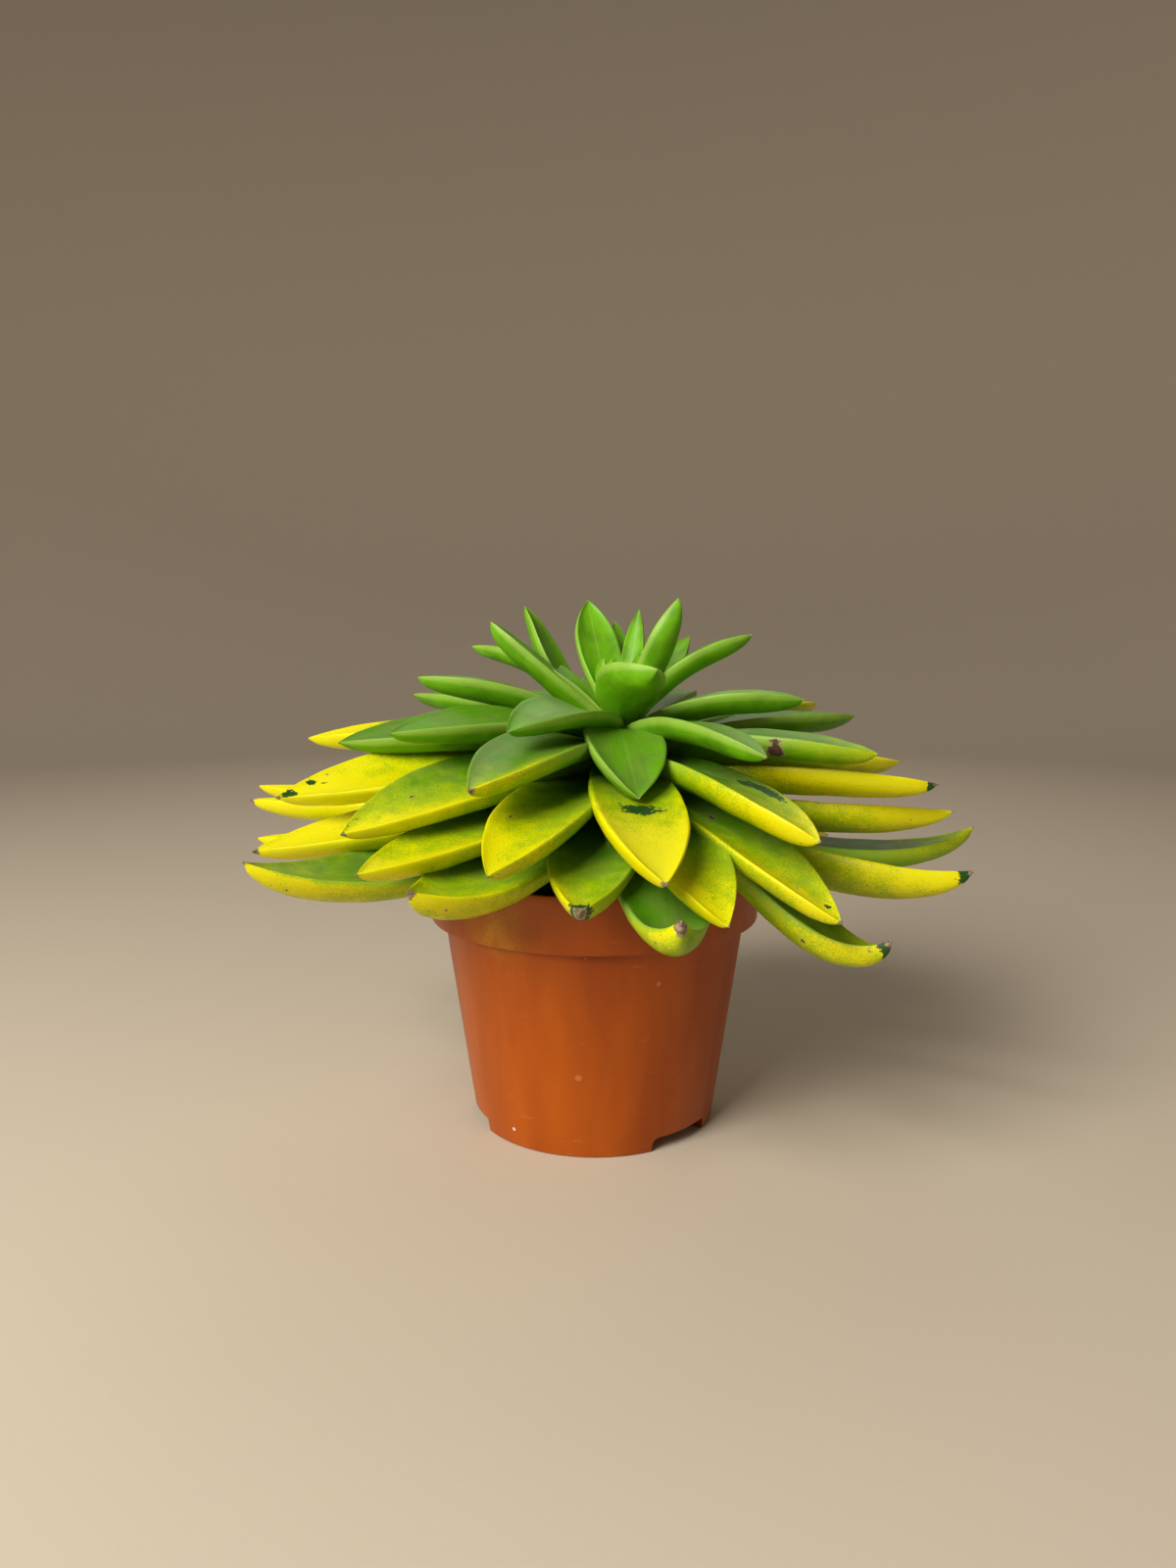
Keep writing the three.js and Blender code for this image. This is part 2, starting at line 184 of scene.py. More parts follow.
def leafMaterial(name, look):
    material, tree, shader = newMaterial(name, IOR=1.42, Specular_IOR_Level=0.36, Subsurface_Weight=0.2,
                                         Subsurface_Scale=0.002)
    shader.inputs["Subsurface Radius"].default_value = (0.45, 1.0, 0.12)
    tint = tints(look)
    blade = addNode(tree, "Attribute", {"attribute_name": "blade"}, out="Vector")    # the flat leaf's own mm
    along, across, upper, youth, fromTip, paint, scrape, scar, pale, drop, worn = (
        addNode(tree, "Attribute", {"attribute_name": key}, out="Fac")
        for key in ("along", "across", "upper", "youth", "fromTip", "paint",
                    "scrape", "scar", "pale", "drop", "worn"))
    cloud = addNode(tree, "TexNoise", {}, {"Vector": blade, "Scale": 1 / look["cloudMm"], "Detail": 2.0})
    lengthwise = addNode(tree, "Mapping", {}, {"Vector": blade, "Scale": (look["streakStretch"], 1, 1)})
    streak = addNode(tree, "TexNoise", {}, {"Vector": lengthwise, "Scale": 1 / look["streakMm"],
                                            "Detail": 2.0})
    grain = addNode(tree, "TexNoise", {}, {"Vector": blade, "Scale": 1 / look["grainMm"], "Detail": 1.0})
    droplet = addNode(tree, "TexNoise", {}, {"Vector": blade, "Scale": 1 / look["dropletMm"], "Detail": 2.0,
                                             "Roughness": 0.65})
    blotch = addNode(tree, "TexNoise", {}, {"Vector": blade, "Scale": 1 / look["blotchMm"], "Detail": 2.0})
    chip = addNode(tree, "TexNoise", {}, {"Vector": blade, "Scale": 1 / look["chipMm"], "Detail": 4.0,
                                          "Roughness": 0.7})
    chipped = addNode(tree, "MapRange", {}, {"Value": chip, "To Min": -0.9, "To Max": 0.9})

    # living green: young heart to mature leaf, brighter flank, darker clouds, fine length lines, pale foot
    colour = addNode(tree, "Mix", rgba, {0: youth, 6: tint["mature"], 7: tint["young"]}, out=2)
    flank = addNode(tree, "MapRange", {}, {"Value": upper, "To Min": 0.65, "To Max": 0.0})
    colour = addNode(tree, "Mix", rgba, {0: flank, 6: colour, 7: tint["flank"]}, out=2)
    shade = addNode(tree, "MapRange", soft, {"Value": cloud, "From Min": 0.42, "From Max": 0.72,
                                             "To Max": 0.4})
    colour = addNode(tree, "Mix", rgba, {0: shade, 6: colour, 7: tint["deep"]}, out=2)
    lines = addNode(tree, "MapRange", soft, {"Value": streak, "From Min": 0.4, "From Max": 0.8,
                                             "To Max": 0.08})
    colour = addNode(tree, "Mix", rgba, {0: lines, 6: colour, 7: tint["rim"]}, out=2)
    foot = addNode(tree, "MapRange", soft, {"Value": along, "From Min": 0.12, "From Max": 0.36,
                                            "To Min": 0.45, "To Max": 0.0})
    colour = addNode(tree, "Mix", rgba, {0: foot, 6: colour, 7: tint["paleBase"]}, out=2)

    # grey wax bloom on the upper face, thinner on young leaves, then the light rim and the young midline
    wax = addNode(tree, "MapRange", soft, {"Value": cloud, "From Min": 0.3, "From Max": 0.62, "To Min": 0.0,
                                           "To Max": 0.3})
    older = addNode(tree, "MapRange", {}, {"Value": youth, "To Min": 1.0, "To Max": 0.2})
    wax = addNode(tree, "Math", multiply, {0: wax, 1: older})
    wax = addNode(tree, "Math", multiply, {0: wax, 1: upper})
    colour = addNode(tree, "Mix", rgba, {0: wax, 6: colour, 7: tint["bloom"]}, out=2)
    side = addNode(tree, "Math", {"operation": "ABSOLUTE"}, {0: across})
    rim = addNode(tree, "MapRange", soft, {"Value": side, "From Min": 0.9, "From Max": 0.985, "To Max": 0.4})
    colour = addNode(tree, "Mix", rgba, {0: rim, 6: colour, 7: tint["rim"]}, out=2)
    midline = addNode(tree, "MapRange", soft, {"Value": side, "From Max": 0.08, "To Min": 0.28,
                                               "To Max": 0.0})
    midline = addNode(tree, "Math", multiply, {0: midline, 1: youth})
    midline = addNode(tree, "Math", multiply, {0: midline, 1: upper})
    colour = addNode(tree, "Mix", rgba, {0: midline, 6: colour, 7: tint["rim"]}, out=2)
    freckle = addNode(tree, "TexVoronoi", {}, {"Vector": blade, "Scale": 1 / look["freckleMm"]},
                      out="Distance")
    freckle = addNode(tree, "MapRange", soft, {"Value": freckle, "From Max": 0.14, "To Min": 0.45,
                                               "To Max": 0.0})
    fleck = addNode(tree, "Mix", rgba, {0: worn, 6: tint["rim"], 7: tint["paintDeep"]}, out=2)
    colour = addNode(tree, "Mix", rgba, {0: freckle, 6: colour, 7: fleck}, out=2)

    # where paint was rubbed off: dark bruised green with a ragged edge
    rubbed = addNode(tree, "Math", add, {0: scrape, 1: chipped})
    bare = addNode(tree, "MapRange", soft, {"Value": rubbed, "From Min": 0.46, "From Max": 0.54})
    kept = addNode(tree, "Math", {"operation": "SUBTRACT"}, {0: 1.0, 1: bare})
    colour = addNode(tree, "Mix", rgba, {0: bare, 6: colour, 7: tint["bare"]}, out=2)

    # spray paint: a thin mist first, then droplets that close up to a full coat towards the tip
    uneven = addNode(tree, "MapRange", {}, {"Value": blotch, "To Min": -0.4, "To Max": 0.4})
    sprayed = addNode(tree, "Math", add, {0: paint, 1: uneven})
    mist = addNode(tree, "MapRange", soft, {"Value": sprayed, "From Min": -0.2, "From Max": 0.75,
                                            "To Max": 0.85})
    mist = addNode(tree, "Math", multiply, {0: mist, 1: kept})
    colour = addNode(tree, "Mix", rgba, {0: mist, 6: colour, 7: tint["mist"]}, out=2)
    spatter = addNode(tree, "MapRange", {}, {"Value": droplet, "To Min": -1.15, "To Max": 1.15})
    wet = addNode(tree, "Math", add, {0: sprayed, 1: spatter})
    coat = addNode(tree, "MapRange", soft, {"Value": wet, "From Min": 0.35, "From Max": 1.05})
    coat = addNode(tree, "Math", multiply, {0: coat, 1: kept})
    spot = addNode(tree, "MapRange", soft, {"Value": drop, "From Min": 0.4, "From Max": 0.6})
    coat = addNode(tree, "Math", larger, {0: coat, 1: spot})
    thick = addNode(tree, "MapRange", soft, {"Value": sprayed, "From Min": 0.5, "From Max": 1.1})
    yellow = addNode(tree, "Mix", rgba, {0: thick, 6: tint["paintDeep"], 7: tint["paint"]}, out=2)
    colour = addNode(tree, "Mix", rgba, {0: coat, 6: colour, 7: yellow}, out=2)
    speck = addNode(tree, "TexVoronoi", {}, {"Vector": blade, "Scale": 1 / look["speckMm"]}, out="Distance")
    speck = addNode(tree, "MapRange", soft, {"Value": speck, "From Min": 0.05, "From Max": 0.11,
                                             "To Min": 0.85, "To Max": 0.0})
    speckled = addNode(tree, "MapRange", {}, {"Value": blotch, "From Min": 0.52, "From Max": 0.58})
    speck = addNode(tree, "Math", multiply, {0: speck, 1: speckled})
    speck = addNode(tree, "Math", multiply, {0: speck, 1: worn})
    colour = addNode(tree, "Mix", rgba, {0: speck, 6: colour, 7: tint["scar"]}, out=2)

    # healed pale patches, dry scars with a pale ragged edge, and the corky point
    healed = addNode(tree, "Math", multiplyAdd, {0: chipped, 1: 0.6, 2: pale})
    healed = addNode(tree, "MapRange", soft, {"Value": healed, "From Min": 0.35, "From Max": 0.6,
                                              "To Max": 0.8})
    colour = addNode(tree, "Mix", rgba, {0: healed, 6: colour, 7: tint["scarEdge"]}, out=2)
    ragged = addNode(tree, "Math", multiplyAdd, {0: chipped, 1: 0.7, 2: scar})
    edge = addNode(tree, "MapRange", soft, {"Value": ragged, "From Min": 0.3, "From Max": 0.42,
                                            "To Max": 0.7})
    colour = addNode(tree, "Mix", rgba, {0: edge, 6: colour, 7: tint["scarEdge"]}, out=2)
    crust = addNode(tree, "MapRange", {}, {"Value": chip, "From Min": 0.4, "From Max": 0.6})
    dry = addNode(tree, "Mix", rgba, {0: crust, 6: tint["scar"], 7: tint["corkDark"]}, out=2)
    scarred = addNode(tree, "MapRange", soft, {"Value": ragged, "From Min": 0.44, "From Max": 0.5})
    colour = addNode(tree, "Mix", rgba, {0: scarred, 6: colour, 7: dry}, out=2)
    corky = addNode(tree, "Mix", rgba, {0: youth, 6: tint["cork"], 7: tint["corkPale"]}, out=2)
    corky = addNode(tree, "Mix", rgba, {0: crust, 6: corky, 7: tint["corkDark"]}, out=2)
    tipEdge = addNode(tree, "Math", multiplyAdd, {0: chipped, 1: 1.6, 2: fromTip})
    tipped = addNode(tree, "MapRange", soft, {"Value": tipEdge, "From Min": 0.9, "From Max": 1.3,
                                              "To Min": 1.0, "To Max": 0.0})
    colour = addNode(tree, "Mix", rgba, {0: tipped, 6: colour, 7: corky}, out=2)
    tree.links.new(colour, shader.inputs["Base Color"])

    # satin wax and paint, dull bloom and cork; droplets and cork stand proud
    dry = addNode(tree, "Math", larger, {0: scarred, 1: tipped})
    dull = addNode(tree, "Math", multiplyAdd, {0: wax, 1: 0.4, 2: dry})
    satin = addNode(tree, "MapRange", {}, {"Value": grain, "From Min": 0.3, "From Max": 0.7, "To Min": 0.36,
                                           "To Max": 0.45})
    rough = addNode(tree, "Math", multiplyAdd, {0: dull, 1: 0.35, 2: satin})
    tree.links.new(rough, shader.inputs["Roughness"])
    height = addNode(tree, "Math", multiplyAdd, {0: streak, 1: 0.35, 2: grain})
    height = addNode(tree, "Math", multiplyAdd, {0: coat, 1: droplet, 2: height})
    crusty = addNode(tree, "Math", multiply, {0: dry, 1: chip})
    height = addNode(tree, "Math", multiplyAdd, {0: crusty, 1: 3.0, 2: height})
    bump = addNode(tree, "Bump", {}, {"Height": height, "Strength": 0.6, "Distance": 0.00012})
    tree.links.new(bump, shader.inputs["Normal"])
    return material


freshLeaf = leafMaterial("succulentLeafWaxBloom", leafSkin)
sprayedLeaf = leafMaterial("succulentLeafSprayPainted", leafSkin)

# Blade, modelled once lying flat along +X: 100 mm long, 20 mm wide
bladeForm = {
    "length": 100, "width": 20, "depth": 7.2, "sides": 16,
    "stations": (0.08, 0.2, 0.32, 0.44, 0.55, 0.65, 0.74, 0.82, 0.885, 0.935, 0.968, 0.986),
    "neckWidth": 0.36, "widestAt": 0.58, "neckCurve": 1.4, "tipCurve": (2.2, 0.93),
    "neckDepth": 0.5, "deepestAt": 0.45, "tipDepthCurve": (4.5, 0.6),
    "hollow": -0.28, "marginLift": 1.9, "fullness": 1.026, "marginCrease": 0.35, "keelCrease": 0.2,
    "point": ((0.7, 0.5), (0.6, 0.75), (0.5, 0.4)),      # the short corky point: mm forward, then narrowing
    "depthMm": (2.2, 0.25),                              # a grown leaf's depth: mm plus a share of its width
    "lumpMm": 14, "lumpHeight": 0.7,
}


def swell(t, neck, peak, neckCurve, tipCurve):
    # share of the full width or depth at t along the leaf: from the neck to 1 at the peak, then to the tip
    if t < peak:
        return neck + (1 - neck) * math.sin(math.pi / 2 * t / peak) ** neckCurve
    return max(0, 1 - ((t - peak) / (1 - peak)) ** tipCurve[0]) ** tipCurve[1]


def widthAlong(t, form=bladeForm):
    return swell(t, form["neckWidth"], form["widestAt"], form["neckCurve"], form["tipCurve"])


def depthAlong(t, form=bladeForm):
    return swell(t, form["neckDepth"], form["deepestAt"], 1, form["tipDepthCurve"])


def modelBlade(form):
    stations = form["stations"]
    radius = form["width"] / 2 * mm * form["fullness"]
    start = stations[0] * form["length"] * mm
    deselectAll()
    bpy.ops.mesh.primitive_circle_add(vertices=form["sides"], radius=radius, fill_type="NGON",
                                      location=(start, 0, 0), rotation=(0, math.pi / 2, 0))
    blade = bpy.context.object
    bpy.ops.object.transform_apply(location=True, rotation=True, scale=True)
    # the lower half becomes the keel and the upper half the shallow channel
    for upperHalf, squeeze, lift in ((False, form["depth"] / form["width"] * 2, 0),
                                     (True, form["hollow"], form["marginLift"] * mm)):
        bpy.ops.object.mode_set(mode="EDIT")
        bpy.ops.mesh.select_all(action="DESELECT")
        bpy.ops.object.mode_set(mode="OBJECT")
        for vertex in blade.data.vertices:
            vertex.select = abs(vertex.co.z) > radius * 0.05 and (vertex.co.z > 0) == upperHalf
        bpy.ops.object.mode_set(mode="EDIT")
        bpy.ops.mesh.select_mode(type="VERT")
        bpy.ops.transform.resize(value=(1, 1, squeeze), center_override=(start, 0, 0))
        bpy.ops.transform.translate(value=(0, 0, lift))
        bpy.ops.object.mode_set(mode="OBJECT")
    bpy.ops.object.mode_set(mode="EDIT")
    bpy.ops.mesh.select_all(action="SELECT")
    wide, deep = widthAlong(stations[0]), depthAlong(stations[0])
    bpy.ops.transform.resize(value=(1, wide, deep), center_override=(start, 0, 0))
    for before, t in zip(stations, stations[1:]):
        at = t * form["length"] * mm
        ratio = (1, widthAlong(t) / wide, depthAlong(t) / deep)
        drawOut(((t - before) * form["length"] * mm, 0, 0), ratio, (at, 0, 0))
        wide, deep = widthAlong(t), depthAlong(t)
    for step, narrow in form["point"]:
        at += step * mm
        drawOut((step * mm, 0, 0), (1, narrow, narrow), (at, 0, 0))
    bpy.ops.mesh.select_all(action="SELECT")
    bpy.ops.mesh.normals_make_consistent(inside=False)
    bpy.ops.object.mode_set(mode="OBJECT")
    return blade


def creaseBlade(blade, form):
    # creases run lengthwise along the keel and the two margins
    creases = blade.data.attributes.new("crease_edge", "FLOAT", "EDGE")
    points = [v.co for v in blade.data.vertices]
    for edge in blade.data.edges:
        a, b = (points[i] for i in edge.vertices)
        if abs(a.x - b.x) < 0.0001:
            continue
        ring = sorted((p for p in points if abs(p.x - a.x) < 1e-6), key=lambda p: p.z)
        if a == ring[0] or (a - ring[0]).length < 1e-7:
            creases.data[edge.index].value = form["keelCrease"]
        elif any((a - p).length < 1e-7 for p in ring[-2:]):
            creases.data[edge.index].value = form["marginCrease"]


master = modelBlade(bladeForm)
creaseBlade(master, bladeForm)
applyModifier(master, "SUBSURF", levels=2, render_levels=2)
bpy.ops.object.shade_smooth()
masterPoints = np.empty(len(master.data.vertices) * 3)
master.data.vertices.foreach_get("co", masterPoints)
masterPoints = masterPoints.reshape(-1, 3) / mm
masterNormals = np.array([v.normal for v in master.data.vertices])
along = masterPoints[:, 0] / bladeForm["length"]
leastHalfWidth = 0.3          # mm, keeps across steady at the very tip
halfWidths = np.array([max(widthAlong(min(t, 0.999)) * bladeForm["width"] / 2, leastHalfWidth)
                       for t in along])
across = np.clip(masterPoints[:, 1] / halfWidths, -1, 1)         # -1 and 1 at the margins
upperFace = np.clip((masterNormals[:, 2] + 0.1) / 0.6, 0, 1)     # 0 on the flanks, 1 on the upper face
print("blade modelled:", len(master.data.polygons), "faces")

# Leaves, in mm and degrees, in the columns azimuth from the front, height on the stem, length, width, rise at
# the root, bend, hook of the tip, sideways curl, roll, then the spray paint: where it starts along the upper
# face and along the flanks, the share of the length that it fades over, and how much more one margin
# catches. A row may end early, and completeRow gives it the rest.
stemLine = {"lean": 0.09, "offset": 5, "offsetHeight": 88}
spray = {"bareLeaf": 1.6, "fade": 0.6,      # a start that no paint reaches, and the usual fade
         "least": -0.7, "most": 1.3, "marginCatch": 0.3, "marginPower": 3}
youngHeight, matureHeight = 124, 119       # leaves that stand higher on the stem are younger
heartRows = [
    (-178, 125, 45, 9, 49, -8), (160, 125, 40, 7, 60.5, 6), (-163, 122, 50, 12, 59, -10),
    (-150, 124, 45, 15, 68, -12, 0, -14), (60, 124, 44, 12, 64, 0, 0, 0, -10),
    (12, 124, 46, 20, 51, -50, 0, 16, -18), (146, 122, 53, 12, 41.5, -14),
    (-118, 121, 54, 11, 30.5, 50, -40), (-82, 122, 53, 14, 45, -8, 0, 0, -8),
    (85, 123, 52, 13, 64.5, -56), (-110, 122, 60, 12, 58, -60), (-22, 125, 22, 9, 66, 10),
    (118, 126, 22, 8, 70, 8), (-96, 126, 20, 8, 70, 8), (40, 126, 15, 7, 76, 0),
]
nearRows = [
    (-28, 121, 69, 18, 33.5, -54, -4, -7, -12, 1.6), (4, 121, 62, 24, 27, -76, 0, 8, -8, 1.6),
    (75, 121, 60, 17, 38.5, -52, 0, 0, 0, 1.6), (31, 120, 73, 16, 25.5, -48.5, 0, 3, -8, 1.6),
    (-76, 120, 67, 17, 37, -38, 0, 0, 0, 1.6), (-56, 120, 79, 20, 22.5, -36, 0, 0, -12, 1.6),
    (-27, 118, 88, 23, 18, -40, 0, 0, -8, 0.98, 1.05, 0.4, 0.4), (-108, 118, 73, 16, 27, -30, 0, 0, 0, 1.6),
    (128, 118, 94, 17, 15, -18, 0, 0, 0, 0.9, 0.9, 0.3), (107, 117, 84, 19, 18, -24, 0, 0, 0, 1.6),
    (-75, 117, 87, 21, 20, -34, 0, 0, -15, 1.6), (62, 117, 82, 21, 17, -30, 0, 0, 0, 1.08, 1.05, 0.5),
    (-96, 117, 101, 20, 14.5, -26, 0, 0, -8, 0.76, 0.76, 0.12),
    (32, 115, 93, 23, 9, -34, 0, 0, -10, 0.76, 0.72, 0.45, -0.1),
    (6, 114, 93, 26, 4.5, -34, 0, 4, -4, 0.58, 0.62, 0.4),
    (-48, 114, 100, 24, 8, -30, 0, 0, -18, 0.72, 0.85, 0.5, 0.45),
    (-68, 113, 105, 23, 9, -24, 0, 0, -23, 0.42, 0.5, 0.6, 0.2),
    (96, 113, 92, 20, 6.5, -14, 0, 0, 0, 0.75, 0.7), (71, 110, 97, 20, 6, -11.5, 0, 0, -10, 0.38, 0.4, 0.6),
    (-20, 110, 98, 25, 7, -30, 0, 0, -4, 0.64, 0.8, 0.55, -0.15),
    (34, 109, 101, 22, -0.5, -30, 0, 0, 0, 0.72, 0.95, 0.5, -0.35),
    (78, 107, 102, 19, -10.5, 14, 0, 0, -19, 0.55, 0.6, 0.6),
    (16, 107, 95, 24, 0.5, -30, 0, 0, 0, 0.68, 0.8, 0.5, -0.35),
    (-107, 107, 129, 20, -7, 8, 0, 0, 0, 0.4, 0.4), (-94, 106, 118, 20, -7, 8, 0, 0, 0, 0.4, 0.4),
    (-7, 106, 91, 26, -4.5, -18.5, 12.5, 0, 0, 0.88, 0.92, 0.5, -0.2),
    (-64, 105, 112, 22, -0.5, -10, 0, 0, -13, 0.42, 0.5, 0.6, 0.1),
    (-40, 105, 103, 22, 0, -12, 0, 0, -10, 0.66, 0.78, 0.55, 0.3),
    (65, 104, 111, 22, -18, 11.5, 28, 0, -26, 0.68, 0.66, 0.5),
    (8, 104, 101, 27, 7, -66.5, 113, -6, -2, 1.15, 0.95, 0.25, -0.3),
    (45, 104, 107, 25, 3, -69.5, 110, 0, -10, 1, 0.78, 0.5), (86, 103, 114, 20, -19, 20, 30, 0, 0, 1.05, 1),
    (-31, 103, 102, 28, -9, -5, 37.5, 0, -10, 0.82, 0.8, 0.5, 0.15),
    (-89, 101, 113, 20, -10, 8, 0, 0, 0, 0.7, 0.6),
    (-52, 102, 122, 25, -14.5, 17.5, 22, 0, -11, 1, 0.7, 0.5),
]
farTiers = [       # count, arc, then height, length, width, rise, bend and paint start
    (3, (142, 226), (120, 66, 17, 30, -34, 1.6)), (4, (136, 234), (117, 80, 19, 18, -28, 1.3)),
    (4, (122, 236), (113, 88, 20, 10, -24, 0.9)), (5, (112, 242), (108, 92, 20, 2, -18, 0.7)),
    (4, (106, 246), (103, 94, 20, -6, -10, 0.6)),
]


def completeRow(row):
    row = list(row) + [0, 0, 0, spray["bareLeaf"]][len(row) - 6:]
    return row + [row[9], spray["fade"], 0][len(row) - 10:]


def axisAt(height):
    return stemLine["offset"] + (height - stemLine["offsetHeight"]) * stemLine["lean"]


farStagger = (2, 2.5)      # degrees by which neighbours alternate in azimuth and in rise


def farRows():
    rows = []
    for count, (first, last), (height, length, width, rise, bend, start) in farTiers:
        for i in range(count):
            side = 1 if len(rows) % 2 else -1
            azimuth = first + (last - first) * (i + 0.5) / count + side * farStagger[0]
            rows.append((azimuth, height, length, width, rise + side * farStagger[1], bend, 0, 0, 0, start))
    return rows


def midrib(row, steps=60):
    azimuth, height, length, _, rise, bend, hook, curl = row[:8]
    point = Vector((axisAt(height), 0, height)) * mm
    points, before = [point.copy()], None
    for i in range(steps + 1):
        t = i / steps
        lift = math.radians(rise + bend * t + hook * t ** 6)         # the hook acts near the tip only
        turn = math.radians(azimuth + curl * (2 * t - 1))
        heading = Vector((math.cos(lift) * math.sin(turn), -math.cos(lift) * math.cos(turn), math.sin(lift)))
        if before:
            point += (heading + before) * length * mm / steps / 2
            points.append(point.copy())
        before = heading
    return points


def growLeaf(row, name, number):
    row = completeRow(row)
    length, width, roll = row[2], row[3], row[8]
    blade = master.copy()
    blade.data = master.data.copy()
    scene.collection.objects.link(blade)
    activate(blade)
    depth = bladeForm["depthMm"][0] + bladeForm["depthMm"][1] * width
    blade.scale = (length / bladeForm["length"], width / bladeForm["width"], depth / bladeForm["depth"])
    bpy.ops.object.transform_apply(location=False, rotation=False, scale=True)
    flat = np.empty(len(blade.data.vertices) * 3)
    blade.data.vertices.foreach_get("co", flat)
    flat = flat.reshape(-1, 3) / mm

    points = midrib(row)
    line = bpy.data.curves.new("midrib", "CURVE")
    line.dimensions, line.twist_mode, line.use_deform_bounds = "3D", "Z_UP", False
    spline = line.splines.new("POLY")
    spline.points.add(len(points) - 1)
    for i, (node, point) in enumerate(zip(spline.points, points)):
        node.co = (*point, 1)
        node.tilt = math.radians(roll) * min(1, 2 * i / (len(points) - 1))
    guide = bpy.data.objects.new("midrib", line)
    scene.collection.objects.link(guide)
    applyModifier(blade, "CURVE", object=guide, deform_axis="POS_X")
    bpy.data.objects.remove(guide)
    displace(blade, "fleshLumps", bladeForm["lumpMm"], bladeForm["lumpHeight"], texture_coords="GLOBAL")
    blade.name = name

    start, flankStart, fade, slant = row[9:]
    sprayed = start < spray["bareLeaf"]
    edge = start + (flankStart - start) * (1 - upperFace)
    caught = sprayed * np.abs(across) ** spray["marginPower"] * spray["marginCatch"] + slant * across
    paint = np.clip((along - edge) / fade + 0.5 + caught, spray["least"], spray["most"])
    youth = np.clip((row[1] - matureHeight) / (youngHeight - matureHeight), 0, 1)
    fields = {
        "along": along, "across": across, "upper": upperFace, "paint": paint,
        "youth": np.full(len(along), youth), "worn": np.full(len(along), float(sprayed)),
        "fromTip": np.maximum(length + 1.0 - nubs.get(name, 0) - flat[:, 0], 0),     # mm to the corky point
        **markLeaf(name, flat, length),
    }
    for key, values in fields.items():
        layer = blade.data.attributes.new(key, "FLOAT", "POINT")
        layer.data.foreach_set("value", values.astype(np.float32))
    layer = blade.data.attributes.new("blade", "FLOAT_VECTOR", "POINT")
    shifted = flat + np.array([number * 37.0, number * 11.0, 0])       # its own stretch of pattern
    layer.data.foreach_set("vector", shifted.astype(np.float32).ravel())
    return blade


# Marks that single leaves carry: kind, face (1 upper, 0 flanks, 0.5 both), place along, mm aside, then the
# radii along and across in mm. Small ones stay faint, so that only flecks of them show.
marks = {
    "leaf_06_blade": [("drop", 1, 0.55, -3, 0.7, 0.6)],
    "leaf_10_blade": [("drop", 1, 0.84, -1.5, 0.8, 0.6)],
    "leaf_15_blade": [("scar", 0, 0.67, -8.5, 2.2, 1.7), ("pale", 0, 0.61, -8.5, 2.5, 1.5)],
    "leaf_21_blade": [("scrape", 1, 0.67, 7.4, 8, 1.5), ("scrape", 1, 0.6, 5.5, 3, 1.3)],
    "leaf_22_blade": [("scrape", 1, 0.62, 0, 3, 5.5), ("scar", 1, 0.71, -2.3, 0.6, 1)],
    "leaf_23_blade": [("scar", 1, 0.76, -2, 0.7, 0.4), ("scar", 1, 0.93, -2.6, 0.6, 0.4)],
    "leaf_24_blade": [("scrape", 1, 0.9, -3.2, 1.5, 1), ("scrape", 1, 0.97, 0, 2.5, 1.8),
                      ("scar", 1, 0.85, -5, 0.6, 0.5), ("scrape", 1, 0.87, -2, 0.9, 0.5)],
    "leaf_30_blade": [("scrape", 0.5, 0.985, 0, 1.6, 3), ("scar", 0, 0.93, -2.4, 0.4, 0.5)],
    "leaf_31_blade": [("drop", 1, 0.55, -3.6, 1, 0.7), ("scar", 1, 0.69, -6.5, 0.8, 0.4)],
    "leaf_32_blade": [("scar", 1, 0.47, 0, 1.2, 0.9), ("scrape", 1, 0.94, 1.2, 1.2, 0.8),
                      ("scar", 1, 0.85, -2, 0.5, 0.4)],
    "leaf_42_blade": [("scrape", 0.5, 0.97, 0, 2.4, 2.8), ("pale", 0.5, 0.99, 0, 1.8, 1.6)],
    "leaf_44_blade": [("pale", 0, 0.82, 7, 0.8, 0.5)],
    "leaf_45_blade": [("scrape", 0.5, 0.98, 0, 1.8, 3), ("scar", 0, 0.78, -6, 0.4, 0.4),
                      ("scar", 0, 0.9, -4.5, 0.6, 0.3)],
    "leaf_46_blade": [("scar", 0, 0.91, -5, 0.3, 0.4), ("scar", 0, 0.94, -2.8, 0.3, 0.4),
                      ("scar", 0, 0.96, 1, 0.3, 0.3)],
    "leaf_47_blade": [("scrape", 0.5, 0.98, 0, 1.6, 3), ("scar", 0, 0.8, -8.5, 0.8, 0.4),
                      ("scar", 0, 0.95, -3, 0.3, 0.4)],
    "leaf_49_blade": [("scar", 0, 0.94, 3, 0.5, 0.4), ("scar", 0, 0.91, 5.4, 0.4, 0.3),
                      ("scar", 0, 0.82, 8, 0.4, 0.5)],
    "leaf_54_blade": [("scar", 0, 0.91, 4.2, 0.5, 0.4)],
}
# how many mm longer the corky point of single leaves is
nubs = {"leaf_10_blade": 0.9, "leaf_22_blade": 0.8, "leaf_23_blade": 0.8, "leaf_24_blade": 0.5,
        "leaf_30_blade": 0.9, "leaf_32_blade": 0.6, "leaf_41_blade": 1.2, "leaf_42_blade": 1.3,
        "leaf_43_blade": 1.2, "leaf_45_blade": 1.0, "leaf_46_blade": 1.9, "leaf_47_blade": 1.4,
        "leaf_49_blade": 1.6}


